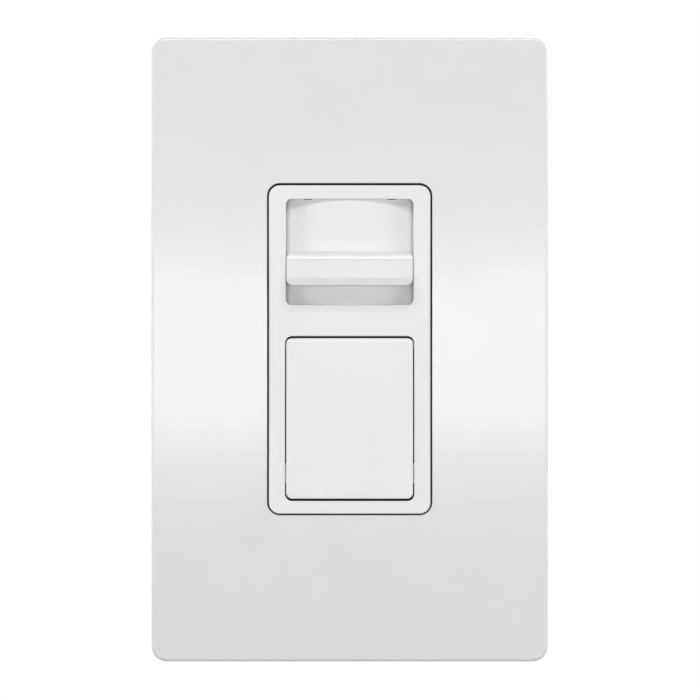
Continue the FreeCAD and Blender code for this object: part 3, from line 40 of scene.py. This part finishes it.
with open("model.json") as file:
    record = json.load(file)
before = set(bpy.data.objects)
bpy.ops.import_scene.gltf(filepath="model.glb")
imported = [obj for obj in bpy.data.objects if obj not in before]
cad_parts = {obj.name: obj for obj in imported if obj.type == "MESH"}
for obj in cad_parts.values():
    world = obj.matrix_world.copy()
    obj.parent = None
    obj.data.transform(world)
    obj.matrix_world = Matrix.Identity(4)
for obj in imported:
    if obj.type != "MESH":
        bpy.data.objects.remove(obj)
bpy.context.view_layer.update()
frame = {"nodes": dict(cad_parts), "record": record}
nodes = frame["nodes"]

# The camera looks straight at the front. The photograph is 700 pixels wide, and its
# middle lies a little to the right of the object's own and below it.
PICTURE_PIXELS = 700
PIXEL = 0.2006 * MM
CAMERA_DISTANCE = 2.0
CAMERA_RIGHT = 0.07 * MM
CAMERA_DOWN = 0.09 * MM
SENSOR = 36.0

# The world's level for matt surfaces.
FILL = 0.045

# A noise texture's usual span, which ramps spread over their own range.
NOISE_LOW = 0.3
NOISE_HIGH = 0.7

# Moulded plastic: patches of colour and gloss to the metre, the fine grain, and how far
# the patches differ in sRGB levels and in roughness.
PLASTIC_PATCHES = 60
PLASTIC_GLOSS_PATCHES = 140
PLASTIC_GRAIN = 5200
PLASTIC_GRAIN_DETAIL = 1.0
PLASTIC_GRAIN_DEPTH = 0.01 * MM
PLASTIC_DARKER = 2
PLASTIC_GLOSS_SPREAD = 0.02

# Metal: streaks to the metre, their depth, and how far they differ in the share of the
# colour's level and in roughness.
METAL_STREAKS = 700
METAL_STREAK_DETAIL = 3.0
METAL_GLOSS_STREAKS = 500
METAL_STREAK_DEPTH = 0.02 * MM
METAL_STREAK_STRENGTH = 0.25
METAL_DARKER = 0.86
METAL_SMOOTHER = 0.06
METAL_ROUGHER = 0.08

# The box screws: where the neck ends along Y, the thread's root and pitch, and the taper
# at the tip.
NECK_END = 0.8 * MM
THREAD_ROOT = 1.45 * MM
THREAD_PITCH = 0.8 * MM
THREAD_STEPS = 24
TIP = 0.7 * MM

# The thread's ridge along one pitch: where its crest starts and ends, and where it ends.
CREST_START = 0.38
CREST_END = 0.5
RIDGE_END = 0.88

# Slack for picking a mesh's faces by their place.
SLACK = 0.01 * MM

# One wire of the choke's winding, and the rest of one turn's shape.
WIRE_RADIUS = 0.43 * MM
TURNS = 25
TURN_CORNER = 0.5 * MM
WINDING_INNER = 4 * MM
WINDING_START = -math.radians(2)
WINDING_TURN = -math.radians(296)

# The small parts that lie on the board along Z. Their heights start from the choke's middle.
SMALL_PARTS_PLACE = -13 * MM
RESISTOR_PITCH = 9 * MM
RESISTOR_LENGTH = 6.5 * MM
RESISTOR_RADIUS = 1.2 * MM
DIAC_DROP = 12.5 * MM
DIAC_LENGTH = 3.8 * MM
DIAC_RADIUS = 1.0 * MM

# Their wire ends, and a resistor's painted bands.
LEAD_RADIUS = 0.3 * MM
LEAD_REACH = 1.2 * MM
BAND_RADIUS = 1.23 * MM
BAND_WIDTH = 0.6 * MM
BAND_LIFT = 1.25 * MM
BAND_SEGMENTS = 32
DARK_BANDS = (-2.2 * MM, -0.2 * MM)
RED_BANDS = (-1.2 * MM, 1.9 * MM)

# The cover plate's crown, and the ribs between its rim and the carrier.
PLATE_CROWN = 2.2 * MM
RIB_SINK = 0.8 * MM
RIB_GAP = 0.6 * MM
RIB_HALF = 0.5 * MM
RIB_WALL = 1.45 * MM
RIB_REACH = 4.2 * MM
END_RIBS = (-27 * MM, -14 * MM, 14 * MM, 27 * MM)
SIDE_RIBS = (-45 * MM, -15 * MM, 15 * MM, 45 * MM)

# The floor: its place and size, the share of plain white in its middle, and where that
# share starts and stops to grow, as shares of its radius.
FLOOR_HEIGHT = -100 * MM
FLOOR_RADIUS = 0.8
FLOOR_SEGMENTS = 96
FLOOR_PATCHES = 9
FLOOR_LIGHTER = 2
FLOOR_WHITE = 0.65
FADE_START = 0.1
FADE_END = 0.9

# Colours, as sRGB levels of 0 to 255.
WHITE_PLATE = (238, 239, 238)
WHITE_FRONT = (237, 239, 238)
FLOOR = (205, 205, 204)


def linear(level):
    """One sRGB level of 0 to 255 as a linear value."""
    share = level / 255
    return share / 12.92 if share <= 0.04045 else ((share + 0.055) / 1.055) ** 2.4


def colour(levels):
    return tuple(linear(level) for level in levels) + (1.0,)


class Shader:
    """A material with one Principled shader, and short ways to add nodes to it."""

    def __init__(self, name):
        self.material = bpy.data.materials.new(name)
        self.material.use_nodes = True
        self.tree = self.material.node_tree
        self.principled = self.tree.nodes["Principled BSDF"]
        self.place = self.add("ShaderNodeTexCoord").outputs["Object"]

    def add(self, kind, **values):
        node = self.tree.nodes.new(kind)
        for name, value in values.items():
            setattr(node, name, value)
        return node

    def link(self, start, end):
        self.tree.links.new(start, end)

    def set(self, **values):
        for name, value in values.items():
            self.principled.inputs[name.replace("_", " ")].default_value = value

    def stretched(self, stretch):
        """The place on the piece, scaled along each axis."""
        mapping = self.add("ShaderNodeMapping")
        mapping.inputs["Scale"].default_value = stretch
        self.link(self.place, mapping.inputs["Vector"])
        return mapping.outputs["Vector"]

    def noise(self, scale, detail=2.0, stretch=(1, 1, 1)):
        noise = self.add("ShaderNodeTexNoise")
        noise.inputs["Scale"].default_value = scale
        noise.inputs["Detail"].default_value = detail
        self.link(self.stretched(stretch), noise.inputs["Vector"])
        return noise.outputs["Fac"]

    def between(self, factor, low, high):
        """Spreads a noise over the range from low to high."""
        spread = self.add("ShaderNodeMapRange")
        spread.inputs["From Min"].default_value = NOISE_LOW
        spread.inputs["From Max"].default_value = NOISE_HIGH
        spread.inputs["To Min"].default_value = low
        spread.inputs["To Max"].default_value = high
        self.link(factor, spread.inputs["Value"])
        return spread.outputs["Result"]

    def blend(self, factor, first, second):
        """Spreads a noise over the range from the first colour to the second."""
        ramp = self.add("ShaderNodeValToRGB")
        ramp.color_ramp.elements[0].position = NOISE_LOW
        ramp.color_ramp.elements[0].color = first
        ramp.color_ramp.elements[1].position = NOISE_HIGH
        ramp.color_ramp.elements[1].color = second
        self.link(factor, ramp.inputs["Fac"])
        return ramp.outputs["Color"]

    def bump(self, height, strength, distance):
        bump = self.add("ShaderNodeBump")
        bump.inputs["Strength"].default_value = strength
        bump.inputs["Distance"].default_value = distance
        self.link(height, bump.inputs["Height"])
        return bump.outputs["Normal"]


def moulded(name, levels, roughness, grain):
    """Moulded plastic: faint colour and gloss variation over a fine mould grain."""
    shader = Shader(name)
    base = colour(levels)
    darker = colour([level - PLASTIC_DARKER for level in levels])
    patches = shader.noise(PLASTIC_PATCHES)
    shader.link(shader.blend(patches, darker, base), shader.principled.inputs["Base Color"])
    gloss = shader.between(
        shader.noise(PLASTIC_GLOSS_PATCHES),
        roughness - PLASTIC_GLOSS_SPREAD,
        roughness + PLASTIC_GLOSS_SPREAD,
    )
    shader.link(gloss, shader.principled.inputs["Roughness"])
    height = shader.noise(PLASTIC_GRAIN, PLASTIC_GRAIN_DETAIL)
    fine = shader.bump(height, grain, PLASTIC_GRAIN_DEPTH)
    shader.link(fine, shader.principled.inputs["Normal"])
    return shader.material


def metal(name, levels, roughness, stretch=(1, 1, 1)):
    """Metal with a brushed or rolled grain along the axis of least stretch."""
    shader = Shader(name)
    base = colour(levels)
    darker = colour([level * METAL_DARKER for level in levels])
    streaks = shader.noise(METAL_STREAKS, METAL_STREAK_DETAIL, stretch)
    shader.link(shader.blend(streaks, darker, base), shader.principled.inputs["Base Color"])
    gloss = shader.between(
        shader.noise(METAL_GLOSS_STREAKS, stretch=stretch),
        roughness - METAL_SMOOTHER,
        roughness + METAL_ROUGHER,
    )
    shader.link(gloss, shader.principled.inputs["Roughness"])
    grain = shader.bump(streaks, METAL_STREAK_STRENGTH, METAL_STREAK_DEPTH)
    shader.link(grain, shader.principled.inputs["Normal"])
    shader.set(Metallic=1.0)
    return shader.material


# Each slot's finish: its colour and roughness, and then how strong a plastic's grain is, or
# how a rolled metal's grain is stretched.
MATERIALS = {
    "plate_white": moulded("plate_white", WHITE_PLATE, 0.11, 0.03),
    "front_white": moulded("front_white", WHITE_FRONT, 0.25, 0.08),
    "carrier_plastic": moulded("carrier_plastic", (28, 36, 44), 0.5, 0.4),
    "inner_plastic": moulded("inner_plastic", (216, 214, 206), 0.5, 0.3),
    "black_plastic": moulded("black_plastic", (36, 36, 38), 0.4, 0.6),
    "housing_grey": moulded("housing_grey", (60, 61, 63), 0.48, 0.9),
    "strap_aluminium": metal("strap_aluminium", (52, 54, 58), 0.42, (1, 1, 0.03)),
    "zinc_steel": metal("zinc_steel", (196, 198, 203), 0.3),
    "green_screw": metal("green_screw", (62, 138, 84), 0.35),
    "spring_brass": metal("spring_brass", (212, 182, 112), 0.28),
    "fibre": moulded("fibre", (132, 70, 52), 0.7, 0.9),
    "board_green": moulded("board_green", (38, 96, 62), 0.35, 0.3),
    "board_brown": moulded("board_brown", (110, 82, 52), 0.5, 0.3),
    "pad_grey": moulded("pad_grey", (148, 150, 154), 0.6, 0.4),
    "ferrite": moulded("ferrite", (84, 86, 88), 0.6, 0.9),
    "copper_wire": metal("copper_wire", (206, 128, 84), 0.3),
    "capacitor_yellow": moulded("capacitor_yellow", (214, 184, 74), 0.3, 0.2),
    "resistor_tan": moulded("resistor_tan", (202, 176, 136), 0.35, 0.3),
    "diode_blue": moulded("diode_blue", (70, 108, 168), 0.3, 0.2),
}


def paint(obj, material):
    obj.data.materials.clear()
    obj.data.materials.append(material)


SLOTS = {part["node"]: part["material_slot"] for part in frame["record"]["subparts"]}
for name, node in nodes.items():
    paint(node, MATERIALS[SLOTS[name]])


def add_piece(name, data, slot, body="fixed"):
    """A new piece that takes a slot's finish and moves with a body."""
    piece = bpy.data.objects.new(name, data)
    bpy.context.scene.collection.objects.link(piece)
    paint(piece, MATERIALS[slot])
    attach(piece, body)
    return piece


def mesh_of(name, shape):
    """Turns a working shape into a mesh."""
    bmesh.ops.recalc_face_normals(shape, faces=shape.faces)
    mesh = bpy.data.meshes.new(name)
    shape.to_mesh(mesh)
    shape.free()
    return mesh


def add_box(shape, low, high):
    size = Vector(high) - Vector(low)
    middle = (Vector(high) + Vector(low)) / 2
    place = Matrix.Translation(middle) @ Matrix.Diagonal((*size, 1))
    bmesh.ops.create_cube(shape, size=1.0, matrix=place)


def add_rod(shape, centre, radius, low, high, tip):
    """A round rod along Y about a centre in x and z. Its last part tapers by the tip."""
    for start, end, last in ((low, high - tip, radius), (high - tip, high, radius - tip)):
        middle = Vector((centre[0], (start + end) / 2, centre[1]))
        place = Matrix.Translation(middle) @ Matrix.Rotation(-math.pi / 2, 4, "X")
        bmesh.ops.create_cone(
            shape,
            cap_ends=True,
            segments=THREAD_STEPS,
            radius1=radius,
            radius2=last,
            depth=end - start,
            matrix=place,
        )


def add_thread(shape, centre, root, crest, low, high):
    """A ridge along Y that winds round a core, and runs out over half a turn at its ends."""
    count = int((high - low) / THREAD_PITCH * THREAD_STEPS)
    rows = []
    for number in range(count + 1):
        grown = min(1, number * 2 / THREAD_STEPS, (count - number) * 2 / THREAD_STEPS)
        top = root + (crest - root) * grown
        angle = 2 * math.pi * number / THREAD_STEPS
        along = low + THREAD_PITCH * number / THREAD_STEPS
        row = []
        for radius, share in ((root, 0), (top, CREST_START), (top, CREST_END), (root, RIDGE_END)):
            x = centre[0] + radius * math.cos(angle)
            z = centre[1] + radius * math.sin(angle)
            row.append(shape.verts.new((x, along + share * THREAD_PITCH, z)))
        rows.append(row)
    for before, after in zip(rows, rows[1:]):
        for first, second in ((0, 1), (1, 2), (2, 3)):
            shape.faces.new((before[first], before[second], after[second], after[first]))


def threaded_box_screws():
    """The box screws with cut threads in place of plain shanks. Heads and necks stay."""
    node = nodes["mounting_screws"]
    screw_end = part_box("mounting_screws")[1].y
    mounts = {mount["name"]: mount for mount in frame["record"]["mounts"]}
    pattern = mounts["box_screws"]["dims"]
    spacing = pattern["pcd_mm"] * MM
    crest = pattern["stud_r_mm"] * MM
    shape = bmesh.new()
    shape.from_mesh(node.data)
    shape.transform(node.matrix_world)
    beyond = NECK_END - SLACK
    shank = [face for face in shape.faces if all(v.co.y > beyond for v in face.verts)]
    bmesh.ops.delete(shape, geom=shank, context="FACES")
    for height in (-spacing / 2, spacing / 2):
        add_rod(shape, (0, height), THREAD_ROOT, NECK_END, screw_end, TIP)
        add_thread(shape, (0, height), THREAD_ROOT, crest, NECK_END, screw_end - TIP)
    piece = add_piece("box_screws", mesh_of("box_screws", shape), "zinc_steel")
    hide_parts("mounting_screws")


def tube(name, lines, radius):
    """A round wire along each line of points."""
    curve = bpy.data.curves.new(name, "CURVE")
    curve.dimensions = "3D"
    curve.bevel_depth = radius
    curve.bevel_resolution = 2
    curve.use_fill_caps = True
    for line in lines:
        spline = curve.splines.new("POLY")
        spline.points.add(len(line) - 1)
        for point, place in zip(spline.points, line):
            point.co = (*place, 1)
    return curve


def turn_section(ring, middle, flat, deep):
    """One turn's outline as radius and depth: a rectangle with round corners."""
    section = []
    # Each corner's side and end, and the angle in degrees at which its arc starts.
    for side, end, start in ((1, 1, 0), (-1, 1, 90), (-1, -1, 180), (1, -1, 270)):
        for turn in (0, 45, 90):
            angle = math.radians(start + turn)
            along = side * flat + TURN_CORNER * math.cos(angle)
            up = end * deep + TURN_CORNER * math.sin(angle)
            section.append((ring + along, middle + up))
    return section


def wound_choke():
    """The choke's winding as one wire, turn beside turn."""
    low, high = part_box("choke_winding")
    middle = (low + high) / 2
    outer = (high.x - low.x) / 2
    ring = (outer + WINDING_INNER) / 2
    flat = (outer - WINDING_INNER) / 2 - WIRE_RADIUS - TURN_CORNER
    deep = (high.y - low.y) / 2 - WIRE_RADIUS - TURN_CORNER
    section = turn_section(ring, middle.y, flat, deep)
    line = []
    total = TURNS * len(section)
    for number in range(total):
        radius, depth = section[number % len(section)]
        angle = WINDING_START + WINDING_TURN * number / total
        x = middle.x + radius * math.cos(angle)
        z = middle.z + radius * math.sin(angle)
        line.append((x, depth, z))
    piece = add_piece("winding_wire", tube("winding_wire", [line], WIRE_RADIUS), "copper_wire")
    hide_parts("choke_winding")


def wire_ends(board, parts):
    """Two wires for each lying part: out of its end, and down to the board."""
    lines = []
    for height, length, radius in parts:
        axis = board + radius
        for side in (-1, 1):
            end = height + side * length / 2
            foot = end + side * LEAD_REACH
            route = ((axis, end), (axis, foot), (board, foot))
            lines.append([(SMALL_PARTS_PLACE, y, z) for y, z in route])
    add_piece("lead_wires", tube("lead_wires", lines, LEAD_RADIUS), "zinc_steel")


def bands(name, slot, board, resistors, places):
    """Painted bands, at the same places along each resistor."""
    shape = bmesh.new()
    for height in resistors:
        for place in places:
            middle = Vector((SMALL_PARTS_PLACE, board + BAND_LIFT, height + place))
            bmesh.ops.create_cone(
                shape,
                cap_ends=True,
                segments=BAND_SEGMENTS,
                radius1=BAND_RADIUS,
                radius2=BAND_RADIUS,
                depth=BAND_WIDTH,
                matrix=Matrix.Translation(middle),
            )
    add_piece(name, mesh_of(name, shape), slot)


def lying_part_details():
    """Wire ends on the resistors and the diac, and bands round the resistors."""
    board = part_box("circuit_board")[1].y
    core_low, core_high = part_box("choke_core")
    choke_height = (core_low.z + core_high.z) / 2
    resistors = [choke_height + side * RESISTOR_PITCH / 2 for side in (-1, 1)]
    parts = [(height, RESISTOR_LENGTH, RESISTOR_RADIUS) for height in resistors]
    parts.append((choke_height - DIAC_DROP, DIAC_LENGTH, DIAC_RADIUS))
    wire_ends(board, parts)
    bands("dark_bands", "black_plastic", board, resistors, DARK_BANDS)
    bands("red_bands", "fibre", board, resistors, RED_BANDS)


def flattening_spring():
    """The press spring as a piece of its own, with its own copy of the mesh, in place of the CAD
    part.
    """
    spring = add_piece("press_spring", nodes["plunger_spring"].data.copy(), "zinc_steel")
    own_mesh(spring)
    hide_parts("plunger_spring")


def plate_ribs():
    """Short ribs inside the cover plate's rim, which stiffen it."""
    low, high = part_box("wall_plate")
    shape = bmesh.new()

    def rib(x_low, x_high, z_low, z_high):
        middle = (z_low + z_high) / 2
        crown = PLATE_CROWN * (middle / high.z) ** 2
        front = low.y + crown + RIB_SINK
        add_box(shape, (x_low, front, z_low), (x_high, -RIB_GAP, z_high))

    inside, outside = high.z - RIB_REACH - RIB_WALL, high.z - RIB_WALL
    for x in END_RIBS:
        rib(x - RIB_HALF, x + RIB_HALF, inside, outside)
        rib(x - RIB_HALF, x + RIB_HALF, -outside, -inside)
    # The rim is narrower at the sides, so these ribs reach half as far.
    inside, outside = high.x - RIB_REACH / 2 - RIB_WALL, high.x - RIB_WALL
    for z in SIDE_RIBS:
        rib(inside, outside, z - RIB_HALF, z + RIB_HALF)
        rib(-outside, -inside, z - RIB_HALF, z + RIB_HALF)
    add_piece("plate_ribs", mesh_of("plate_ribs", shape), "plate_white")


def area_lamp(name, place, width, height, watts, target=(0, 0, 0)):
    """A soft box at a place, turned to the target."""
    light = bpy.data.lights.new(name, "AREA")
    light.shape = "RECTANGLE"
    light.size = width
    light.size_y = height
    light.energy = watts
    lamp = bpy.data.objects.new(name, light)
    lamp.location = place
    lamp.rotation_mode = "QUATERNION"
    lamp.rotation_quaternion = (Vector(target) - Vector(place)).to_track_quat("-Z", "Y")
    bpy.context.scene.collection.objects.link(lamp)


def make_lamps():
    """Soft boxes in front, above, at both sides and behind."""
    # The band of light across the crowned plate is these two boxes' reflection.
    area_lamp("strip_box", (0, -1.5, 0), width=1.6, height=0.19, watts=3.42)
    lower = -0.04
    area_lamp(
        "front_box",
        (0, -2.2, lower),
        width=2.0,
        height=0.62,
        watts=3.95,
        target=(0, 0, lower),
    )
    # The key light comes from high in front, and gives the shadow under the bar.
    area_lamp("key_box", (0, -1.7, 2.1), width=1.8, height=0.9, watts=42.3)
    for name, side in (("left_box", -1), ("right_box", 1)):
        area_lamp(name, (side * 1.45, -0.28, 0), width=0.5, height=1.0, watts=8.9)
    area_lamp("back_box", (0.6, 1.35, 0.4), width=1.2, height=0.6, watts=11.0)


def looking_rays(tree):
    """One for what the camera sees, straight or by way of gloss or glass, and else nought."""
    rays = tree.nodes.new("ShaderNodeLightPath")
    total = rays.outputs["Is Camera Ray"]
    for other in ("Is Glossy Ray", "Is Transmission Ray"):
        either = tree.nodes.new("ShaderNodeMath")
        either.operation = "MAXIMUM"
        tree.links.new(total, either.inputs[0])
        tree.links.new(rays.outputs[other], either.inputs[1])
        total = either.outputs[0]
    return total


def floor_material():
    """Pale grey that fades into plain white towards the floor's rim."""
    shader = Shader("floor")
    lighter = colour([level + FLOOR_LIGHTER for level in FLOOR])
    base = shader.blend(shader.noise(FLOOR_PATCHES), colour(FLOOR), lighter)
    shader.link(base, shader.principled.inputs["Base Color"])
    shader.set(Roughness=0.8, Specular_IOR_Level=0.1)
    length = shader.add("ShaderNodeVectorMath", operation="LENGTH")
    shader.link(shader.place, length.inputs[0])
    fade = shader.add("ShaderNodeMapRange", interpolation_type="SMOOTHSTEP")
    fade.inputs["From Min"].default_value = FADE_START * FLOOR_RADIUS
    fade.inputs["From Max"].default_value = FADE_END * FLOOR_RADIUS
    fade.inputs["To Min"].default_value = FLOOR_WHITE
    shader.link(length.outputs["Value"], fade.inputs["Value"])
    share = shader.add("ShaderNodeMath", operation="MULTIPLY")
    shader.link(fade.outputs["Result"], share.inputs[0])
    shader.link(looking_rays(shader.tree), share.inputs[1])
    white = shader.add("ShaderNodeEmission")
    mix = shader.add("ShaderNodeMixShader")
    shader.link(share.outputs[0], mix.inputs["Fac"])
    shader.link(shader.principled.outputs[0], mix.inputs[1])
    shader.link(white.outputs[0], mix.inputs[2])
    out = shader.tree.nodes["Material Output"]
    shader.link(mix.outputs[0], out.inputs["Surface"])
    return shader.material


def make_floor():
    """A round floor under the object, which takes its shadow."""
    mesh = bpy.data.meshes.new("floor")
    shape = bmesh.new()
    bmesh.ops.create_circle(
        shape, cap_ends=True, segments=FLOOR_SEGMENTS, radius=FLOOR_RADIUS
    )
    shape.to_mesh(mesh)
    shape.free()
    floor = bpy.data.objects.new("floor", mesh)
    floor.location = (0, 0, FLOOR_HEIGHT)
    bpy.context.scene.collection.objects.link(floor)
    paint(floor, floor_material())


def make_world():
    """White where the camera, metal or glass look past the object, and a plain soft fill."""
    world = bpy.data.worlds.new("surround")
    bpy.context.scene.world = world
    world.use_nodes = True
    tree = world.node_tree
    tree.nodes.clear()
    out = tree.nodes.new("ShaderNodeOutputWorld")
    mix = tree.nodes.new("ShaderNodeMixShader")
    tree.links.new(looking_rays(tree), mix.inputs["Fac"])
    # The fill is what matt surfaces get, and plain white is what is looked at.
    for entry, strength in ((1, FILL), (2, 1.0)):
        background = tree.nodes.new("ShaderNodeBackground")
        background.inputs["Color"].default_value = (1, 1, 1, 1)
        background.inputs["Strength"].default_value = strength
        tree.links.new(background.outputs[0], mix.inputs[entry])
    tree.links.new(mix.outputs[0], out.inputs["Surface"])


def make_camera():
    """A camera far in front, whose lens shows as much as the photograph does."""
    camera = bpy.data.cameras.new("camera")
    camera.sensor_width = SENSOR
    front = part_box("wall_plate")[0].y
    camera.lens = SENSOR * CAMERA_DISTANCE / (PICTURE_PIXELS * PIXEL)
    camera.clip_start = 0.01
    camera.clip_end = 20
    holder = bpy.data.objects.new("camera", camera)
    holder.location = (CAMERA_RIGHT, front - CAMERA_DISTANCE, -CAMERA_DOWN)
    holder.rotation_euler = (math.pi / 2, 0, 0)
    bpy.context.scene.collection.objects.link(holder)
    bpy.context.scene.camera = holder


threaded_box_screws()
wound_choke()
lying_part_details()
flattening_spring()
plate_ribs()
make_world()
make_camera()
make_floor()
make_lamps()

settings = bpy.context.scene.view_settings
settings.view_transform = "Standard"
